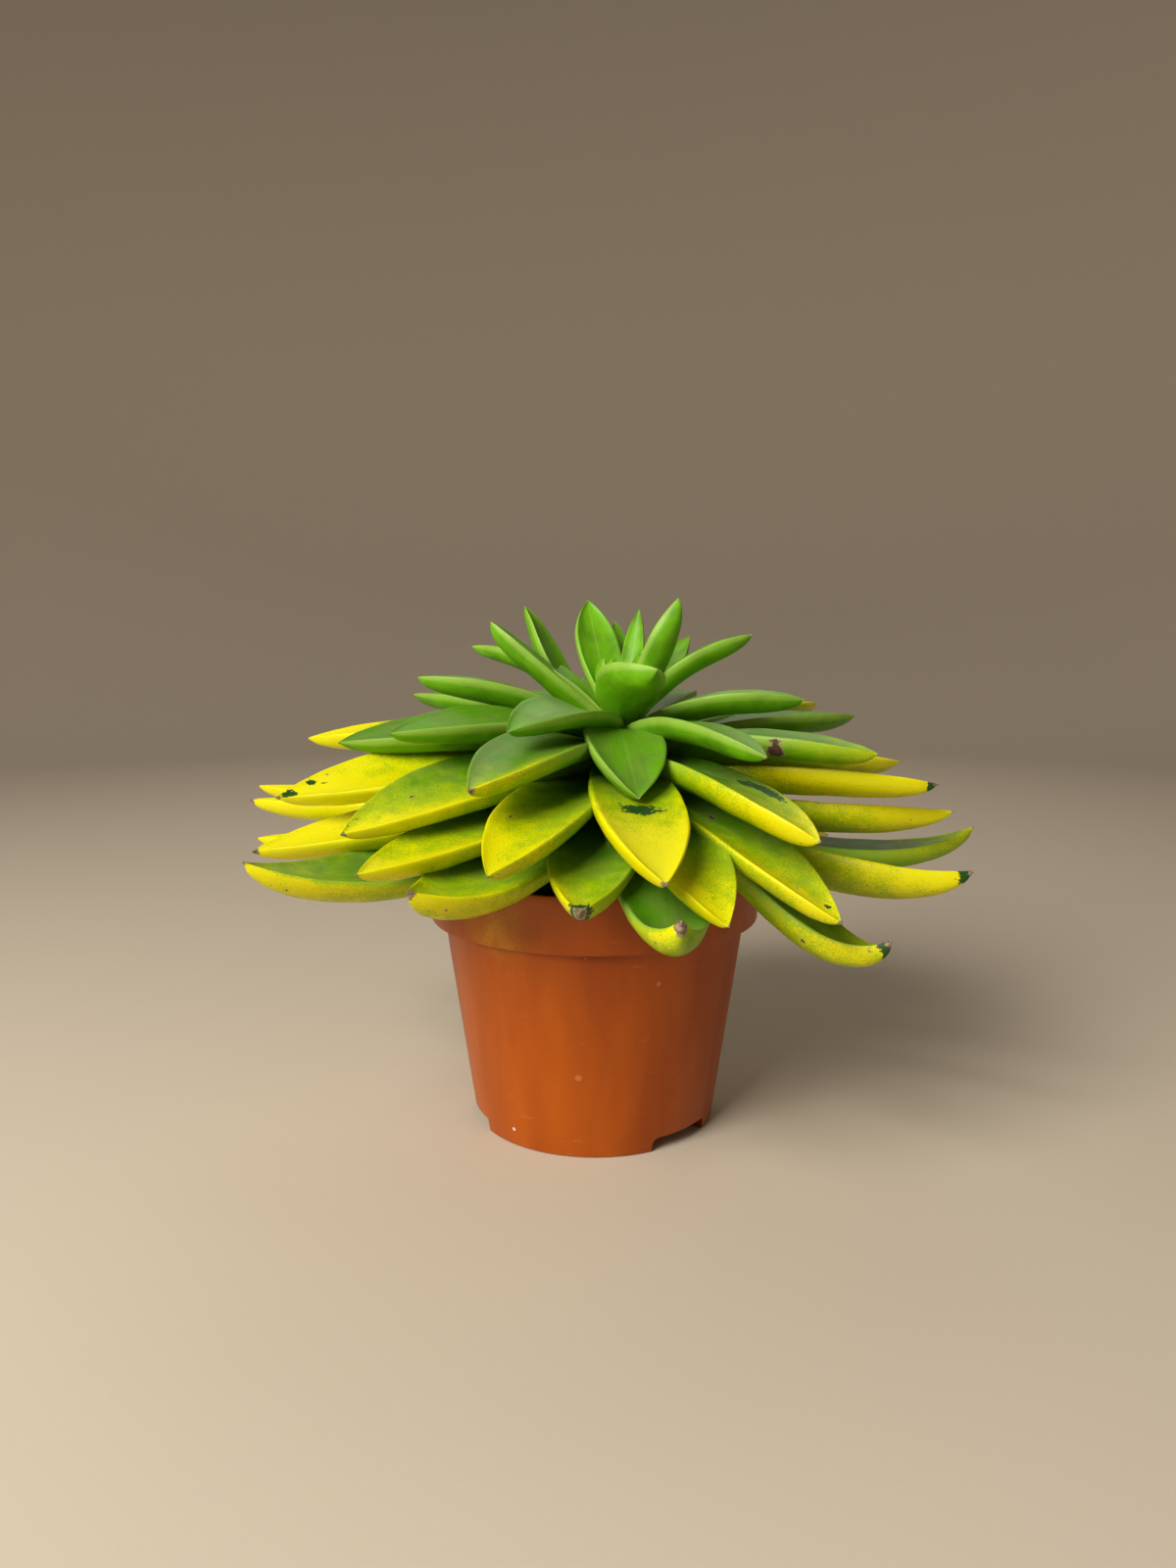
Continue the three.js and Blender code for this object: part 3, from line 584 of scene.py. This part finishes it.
def markLeaf(name, flat, length):
    wear = {kind: np.zeros(len(flat)) for kind in ("scrape", "scar", "pale", "drop")}
    for kind, face, at, aside, radiusAlong, radiusAcross in marks.get(name, []):
        reach = ((along - at) * length / radiusAlong) ** 2 + ((flat[:, 1] - aside) / radiusAcross) ** 2
        reach += np.maximum(np.abs(upperFace - face) - 0.5, 0) * 8         # keeps it off the other face
        peak = min(1.2, 0.55 + 0.5 * max(radiusAlong, radiusAcross))
        wear[kind] = np.maximum(wear[kind], np.clip(peak - 0.7 * np.sqrt(reach), 0, 1))
    return wear


leafRows = sorted(nearRows + farRows(), key=lambda row: -row[1])
painted = {item["node"] for item in frame["record"]["subparts"] if item["material_slot"] == "leaf_painted"}
for number, row in enumerate(leafRows, 1):
    node = f"leaf_{number:02d}"
    leaf = growLeaf(row, f"{node}_blade", number)
    skin, slot = (sprayedLeaf, "leaf_painted") if node in painted else (freshLeaf, "leaf_green")
    place(leaf, skin, slot, node)
print("leaves grown:", len(leafRows))

heartLeaves = [growLeaf(row, f"heartLeaf{i}", 60 + i) for i, row in enumerate(heartRows)]
deselectAll()
for leaf in heartLeaves:
    leaf.select_set(True)
bpy.context.view_layer.objects.active = heartLeaves[0]
bpy.ops.object.join()
heart = bpy.context.object
heart.name = "heart_leaves"
place(heart, freshLeaf, "leaf_green", "stem_and_heart")
bpy.data.objects.remove(master)
print("heart grown")

# Stem: short, thick and corky, ringed with the scars of dropped leaves
stemForm = {"sides": 24, "lumpMm": 3, "lumpHeight": 0.8,
            "profile": ((6.5, 56), (8, 62), (8, 81), (8.7, 83), (8, 85), (9.7, 88), (9, 90), (12, 95),
                        (13, 100), (13, 112), (11, 118), (7, 122), (2.5, 124))}
corkLook = {"bark": "#6f5a45", "furrow": "#2e2419", "green": "#5c8a2a", "furrowMm": 1.6,
            "greenFrom": 0.1, "greenFull": 0.115}      # heights in metres


def modelStem(form):
    stem = drawProfile(form["profile"], form["sides"], axisAt)
    bpy.ops.object.mode_set(mode="OBJECT")
    applyModifier(stem, "SUBSURF", levels=2, render_levels=2)
    displace(stem, "barkLumps", form["lumpMm"], form["lumpHeight"], texture_coords="LOCAL")
    return finishMesh(stem, "stem")


def corkMaterial(look):
    # cork skin: dull, dry and furrowed, green near the growing point
    material, tree, shader = newMaterial("corkyStemSkin", Roughness=0.85)
    tint = tints(look)
    where = addNode(tree, "TexCoord", out="Object")
    furrow = addNode(tree, "TexNoise", {}, {"Vector": where, "Scale": 1000 / look["furrowMm"], "Detail": 4.0})
    colour = addNode(tree, "Mix", rgba, {0: furrow, 6: tint["furrow"], 7: tint["bark"]}, out=2)
    height = addNode(tree, "SeparateXYZ", {}, {0: where}, out=2)
    fresh = addNode(tree, "MapRange", {}, {"Value": height, "From Min": look["greenFrom"],
                                           "From Max": look["greenFull"]})
    colour = addNode(tree, "Mix", rgba, {0: fresh, 6: colour, 7: tint["green"]}, out=2)
    tree.links.new(colour, shader.inputs["Base Color"])
    bump = addNode(tree, "Bump", {}, {"Height": furrow, "Strength": 0.7, "Distance": 0.0006})
    tree.links.new(bump, shader.inputs["Normal"])
    return material


stem = modelStem(stemForm)
place(stem, corkMaterial(corkLook), "leaf_green", "stem_and_heart")
print("stem modelled")

# Pot: thin injection-moulded grower's pot, one closed wall drawn from the floor's underside, down the foot,
# up the outside and down the inside to the floor again
potForm = {
    "sides": 96, "rimRadius": 52.5, "height": 82, "collarBottom": 65.2, "collarRadius": 51.5, "bodyTop": 47.5,
    "baseRadius": 38, "wall": 1.3, "footWidth": 2.2, "floor": 5, "footRound": 1.2,
    "notchAzimuths": (44, 164, -76), "notchWidth": 23, "notchHeight": 4.3, "notchCorner": 2.2,
    "drainHoles": 6, "drainRadius": 4, "drainCircle": 25, "drillDepth": 12,
}


def potProfile(form):
    def body(z):
        return form["baseRadius"] + (form["bodyTop"] - form["baseRadius"]) * z / form["collarBottom"]

    def collar(z):
        share = (z - form["collarBottom"]) / (form["height"] - form["collarBottom"])
        return form["collarRadius"] + (form["rimRadius"] - form["collarRadius"]) * share

    wall, low, ledge = form["wall"], form["collarBottom"], form["collarBottom"] + form["wall"]
    foot, top, floorTop = form["footRound"], form["height"], form["floor"] + form["wall"]
    base, rim, neck = form["baseRadius"], form["rimRadius"], form["collarRadius"]
    inner = base - form["footWidth"]
    return [
        (inner, form["floor"]), (inner - 0.2, 0.3), (inner + 0.2, 0),                    # inside of the foot
        (base - 0.6, 0), (base - 0.1, 0.35), (base + 0.1, foot),                         # its rounded edge
        (body(8), 8), (body(30), 30), (body(56), 56),
        (body(low) - 0.25, low - 1), (body(low), low - 0.1),                             # groove
        (neck - 0.5, low), (neck - 0.1, low + 0.15), (neck + 0.05, low + 0.6),           # edge of the collar
        (collar(low + 4), low + 4), (collar(top - 3), top - 3),
        (rim, top - 0.45), (rim - 0.15, top - 0.1), (rim - 0.45, top),                   # rounded rim
        (rim - wall + 0.3, top), (rim - wall, top - 0.3),
        (collar(ledge + 4) - wall, ledge + 4), (collar(ledge) - wall, ledge + 0.3),      # down the inside
        (collar(ledge) - wall - 0.4, ledge), (body(ledge) - wall, ledge), (body(30) - wall, 30),
        (body(floorTop + 2) - wall, floorTop + 2), (body(floorTop) - wall - 0.6, floorTop + 0.3),
        (body(floorTop) - wall - 2, floorTop),
    ]


def modelPot(form):
    pot = drawProfile(potProfile(form), form["sides"])
    bpy.ops.mesh.select_all(action="SELECT")
    bpy.ops.mesh.normals_make_consistent(inside=False)
    bpy.ops.object.mode_set(mode="OBJECT")
    for azimuth in form["notchAzimuths"]:
        cutAway(pot, notchCutter(form, math.radians(azimuth)))
    circle, drill = form["drainCircle"] * mm, form["drillDepth"] * mm
    for i in range(form["drainHoles"]):
        turn = 2 * math.pi * i / form["drainHoles"]
        bpy.ops.mesh.primitive_cylinder_add(
            vertices=32, radius=form["drainRadius"] * mm, depth=drill,
            location=(circle * math.cos(turn), circle * math.sin(turn), drill / 2))
        cutAway(pot, bpy.context.object)
    return finishMesh(pot, "grower_pot", smoothAngle=32)


def notchCutter(form, turn):
    reach, tall = form["baseRadius"] * mm, form["notchHeight"] * mm
    bpy.ops.mesh.primitive_cube_add(size=1, location=(reach * math.sin(turn), -reach * math.cos(turn), 0),
                                    rotation=(0, 0, turn), scale=(form["notchWidth"] * mm, reach, 2 * tall))
    cutter = bpy.context.object
    local = [v.co.copy() for v in cutter.data.vertices]
    for edge in cutter.data.edges:
        a, b = (local[i] for i in edge.vertices)
        edge.select = a.z > 0 and b.z > 0 and abs(a.y - b.y) > 0.5     # the two top edges that run outwards
    for vertex in cutter.data.vertices:
        vertex.select = vertex.co.z > 0
    for face in cutter.data.polygons:
        face.select = False
    bpy.ops.object.transform_apply(location=True, rotation=True, scale=True)
    bpy.ops.object.mode_set(mode="EDIT")
    bpy.ops.mesh.select_mode(type="EDGE")
    bpy.ops.mesh.bevel(offset=form["notchCorner"] * mm, segments=6)
    bpy.ops.object.mode_set(mode="OBJECT")
    return cutter


def cutAway(body, cutter):
    applyModifier(body, "BOOLEAN", object=cutter, operation="DIFFERENCE", solver="EXACT")
    bpy.data.objects.remove(cutter)


potLook = {
    "plastic": "#b25400", "plasticDeep": "#984200", "overspray": "#c4a010", "scuff": "#cf8a5c",
    "flowMm": 14, "flowStretch": 0.12, "peelMm": 1.1, "scratchMm": 9, "scratchSquash": 6,
    "mistMm": 0.6, "patchMm": 6, "hazeAt": (-0.028, -0.044, 0.070),
    # single marks, in metres: centre, radius, colour
    "marks": (((-0.0028, -0.0475, 0.0633), 0.0006, "#d8c818"),
              ((-0.0243, -0.0303, 0.0055), 0.0007, "#e9dccb"),
              ((-0.0048, -0.0415, 0.0262), 0.0012, "#bf6a38"),
              ((0.0181, -0.0423, 0.0545), 0.0009, "#bf7040")),
}


def potMaterial(look):
    # moulded polypropylene: smooth, semi-gloss and evenly coloured, with a fine orange peel, scuffs,
    # vertical flow marks from the mould and a haze of yellow overspray on the collar
    material, tree, shader = newMaterial("mouldedPolypropylene", IOR=1.49, Specular_IOR_Level=0.33)
    tint = tints(look)
    where = addNode(tree, "TexCoord", out="Object")
    stretched = addNode(tree, "Mapping", {}, {"Vector": where, "Scale": (1, 1, look["flowStretch"])})
    flow = addNode(tree, "TexNoise", {}, {"Vector": stretched, "Scale": 1000 / look["flowMm"], "Detail": 3.0})
    peel = addNode(tree, "TexNoise", {}, {"Vector": where, "Scale": 1000 / look["peelMm"], "Detail": 1.0})
    tone = addNode(tree, "MapRange", {}, {"Value": flow, "From Min": 0.3, "From Max": 0.7})
    colour = addNode(tree, "Mix", rgba, {0: tone, 6: tint["plastic"], 7: tint["plasticDeep"]}, out=2)
    squashed = addNode(tree, "Mapping", {}, {"Vector": where, "Scale": (1, 1, look["scratchSquash"])})
    scratch = addNode(tree, "TexNoise", {}, {"Vector": squashed, "Scale": 1000 / look["scratchMm"],
                                             "Detail": 5.0, "Roughness": 0.7})
    scuffed = addNode(tree, "MapRange", {}, {"Value": scratch, "From Min": 0.62, "From Max": 0.72,
                                             "To Max": 0.3})
    colour = addNode(tree, "Mix", rgba, {0: scuffed, 6: colour, 7: tint["scuff"]}, out=2)

    # overspray haze: droplets, thicker towards the left of the collar
    mist = addNode(tree, "TexNoise", {}, {"Vector": where, "Scale": 1000 / look["mistMm"], "Detail": 2.0})
    away = addNode(tree, "VectorMath", {"operation": "DISTANCE"}, {0: where, 1: look["hazeAt"]}, out="Value")
    haze = addNode(tree, "MapRange", soft, {"Value": away, "From Min": 0.002, "From Max": 0.017,
                                            "To Min": 0.55, "To Max": 0.0})
    patch = addNode(tree, "TexNoise", {}, {"Vector": where, "Scale": 1000 / look["patchMm"], "Detail": 2.0})
    haze = addNode(tree, "Math", multiply, {0: haze, 1: patch})
    haze = addNode(tree, "Math", multiply, {0: haze, 1: mist})
    haze = addNode(tree, "MapRange", {}, {"Value": haze, "From Min": 0.02, "From Max": 0.3, "To Max": 0.6})
    colour = addNode(tree, "Mix", rgba, {0: haze, 6: colour, 7: tint["overspray"]}, out=2)
    for centre, radius, code in look["marks"]:
        near = addNode(tree, "VectorMath", {"operation": "DISTANCE"}, {0: where, 1: centre}, out="Value")
        near = addNode(tree, "MapRange", soft, {"Value": near, "From Min": radius * 0.6, "From Max": radius,
                                                "To Min": 0.9, "To Max": 0.0})
        colour = addNode(tree, "Mix", rgba, {0: near, 6: colour, 7: linear(code)}, out=2)
    tree.links.new(colour, shader.inputs["Base Color"])
    rough = addNode(tree, "MapRange", {}, {"Value": flow, "From Min": 0.3, "From Max": 0.7, "To Min": 0.36,
                                           "To Max": 0.46})
    rough = addNode(tree, "Math", add, {0: rough, 1: scuffed})
    tree.links.new(rough, shader.inputs["Roughness"])
    bump = addNode(tree, "Bump", {}, {"Height": peel, "Strength": 0.25, "Distance": 0.0001})
    tree.links.new(bump, shader.inputs["Normal"])
    return material


pot = modelPot(potForm)
place(pot, potMaterial(potLook), "pot_plastic", "pot")
print("pot modelled")

# Soil: peat plug with a crumbly top
soilForm = {
    "sides": 64, "profile": ((36.8, 6.8), (46.2, 66.6), (49.6, 67), (50.3, 75.6), (49.4, 76.6), (46.5, 77)),
    "insets": 17, "insetStep": 2.522, "looseAbove": 76.4,
    "lumps": (("soilLumps", 7, 2.4), ("soilGrain", 1.8, 1.1)),      # size and height in mm
    "crumbs": 260, "crumbSize": (0.5, 1.7), "crumbSpread": 48, "crumbRise": 0.3, "crumbDent": 0.35,
    "crumbDentPitch": 1.7, "seed": 7,
}
soilLook = {"peat": "#2b1c12", "dark": "#120b07", "fibre": "#5b422c", "crumbMm": 1.1}


def modelSoil(form):
    soil = drawProfile(form["profile"], form["sides"])
    for _ in range(form["insets"]):
        bpy.ops.mesh.inset(thickness=form["insetStep"] * mm)
    bpy.ops.object.mode_set(mode="OBJECT")
    surface = soil.vertex_groups.new(name="surface")
    surface.add([v.index for v in soil.data.vertices if v.co.z > form["looseAbove"] * mm], 1, "REPLACE")
    for name, size, height in form["lumps"]:
        displace(soil, name, size, height, texture_coords="LOCAL", direction="Z", vertex_group="surface")
    finishMesh(soil, "peat_soil", smoothAngle=50)

    rng = np.random.default_rng(form["seed"])
    bpy.ops.mesh.primitive_ico_sphere_add(subdivisions=2, radius=1)
    crumb = bpy.context.object
    for vertex in crumb.data.vertices:
        vertex.co *= 1 + form["crumbDent"] * noise.noise(vertex.co * form["crumbDentPitch"])
    top = (form["profile"][-1][1] + form["crumbRise"]) * mm
    crumbs = []
    for _ in range(form["crumbs"]):
        radius = form["crumbSpread"] * math.sqrt(rng.uniform(0.05, 1))
        turn = rng.uniform(0, 2 * math.pi)
        size = rng.uniform(*form["crumbSize"]) * mm
        copy = crumb.copy()
        copy.data = crumb.data.copy()
        scene.collection.objects.link(copy)
        copy.location = (radius * math.cos(turn) * mm, radius * math.sin(turn) * mm, top)
        copy.rotation_euler = rng.uniform(0, 6, 3)
        copy.scale = size * rng.uniform(0.6, 1.1, 3)
        crumbs.append(copy)
    bpy.data.objects.remove(crumb)
    deselectAll()
    for copy in crumbs + [soil]:
        copy.select_set(True)
    bpy.context.view_layer.objects.active = soil
    bpy.ops.object.join()
    return soil


def soilMaterial(look):
    # peat potting mix: dark, dull and fibrous
    material, tree, shader = newMaterial("peatPottingMix", Roughness=0.95)
    tint = tints(look)
    where = addNode(tree, "TexCoord", out="Object")
    crumb = addNode(tree, "TexNoise", {}, {"Vector": where, "Scale": 1000 / look["crumbMm"], "Detail": 5.0,
                                           "Roughness": 0.7})
    tone = addNode(tree, "MapRange", {}, {"Value": crumb, "From Min": 0.35, "From Max": 0.6})
    colour = addNode(tree, "Mix", rgba, {0: tone, 6: tint["dark"], 7: tint["peat"]}, out=2)
    fibre = addNode(tree, "MapRange", {}, {"Value": crumb, "From Min": 0.62, "From Max": 0.68, "To Max": 0.7})
    colour = addNode(tree, "Mix", rgba, {0: fibre, 6: colour, 7: tint["fibre"]}, out=2)
    tree.links.new(colour, shader.inputs["Base Color"])
    bump = addNode(tree, "Bump", {}, {"Height": crumb, "Strength": 0.9, "Distance": 0.0008})
    tree.links.new(bump, shader.inputs["Normal"])
    return material


soil = modelSoil(soilForm)
place(soil, soilMaterial(soilLook), "potting_soil", "soil")
print("soil modelled")

# Studio: a pale sweep all round, in mm, a soft key from the upper left, a weak fill and a light from behind
studio = {"floorRadius": 1100, "sweepRadius": 600, "sweepSteps": 16, "wallHeight": 1300, "sides": 96,
          "floor": "#c6baa8", "floorFleck": "#a8a49c", "fibresPerMetre": 900,
          "sky": "#e8ddcc", "lampTint": "#fff9f0", "skyStrength": 0.12}
lights = [      # place, size, power, aimed at
    ((-0.52, -0.66, 0.68), 0.55, 15.0, (0, 0, 0.08)),
    ((0.75, -0.5, 0.4), 0.7, 0.3, (0, 0, 0.08)),
    ((0.1, 0.8, 0.9), 0.6, 2.0, (0, 0, 0.1)),
]


def buildSweep(form):
    turns = [math.pi / 2 * i / form["sweepSteps"] for i in range(form["sweepSteps"] + 1)]
    profile = [(form["floorRadius"] + form["sweepRadius"] * math.sin(turn),
                form["sweepRadius"] * (1 - math.cos(turn))) for turn in turns]
    sweep = drawProfile(profile + [(profile[-1][0], form["wallHeight"])], form["sides"])
    bpy.ops.mesh.delete(type="ONLY_FACE")                     # the top stays open to the sky
    bpy.ops.object.mode_set(mode="OBJECT")
    bpy.ops.object.shade_smooth()
    sweep.name = "studio_sweep"
    # matte paper: dull and even, with fine fibres drawn coarser than they are
    material, tree, shader = newMaterial("mattePaperSweep", Roughness=0.9)
    where = addNode(tree, "TexCoord", out="Object")
    fibre = addNode(tree, "TexNoise", {}, {"Vector": where, "Scale": form["fibresPerMetre"], "Detail": 3.0})
    tone = addNode(tree, "MapRange", {}, {"Value": fibre, "From Min": 0.3, "From Max": 0.7, "To Max": 0.06})
    colour = addNode(tree, "Mix", rgba, {0: tone, 6: linear(form["floor"]), 7: linear(form["floorFleck"])},
                     out=2)
    tree.links.new(colour, shader.inputs["Base Color"])
    sweep.data.materials.append(material)


buildSweep(studio)
world = bpy.data.worlds.new("studioSky")
world.use_nodes = True
world.node_tree.nodes["Background"].inputs["Color"].default_value = linear(studio["sky"])
world.node_tree.nodes["Background"].inputs["Strength"].default_value = studio["skyStrength"]
scene.world = world
for where, size, power, target in lights:
    bpy.ops.object.light_add(type="AREA", location=where)
    lamp = bpy.context.object
    lamp.data.size = size
    lamp.data.energy = power
    lamp.data.color = linear(studio["lampTint"])[:3]
    lamp.rotation_euler = (Vector(target) - Vector(where)).to_track_quat("-Z", "Y").to_euler()
print("studio lit")
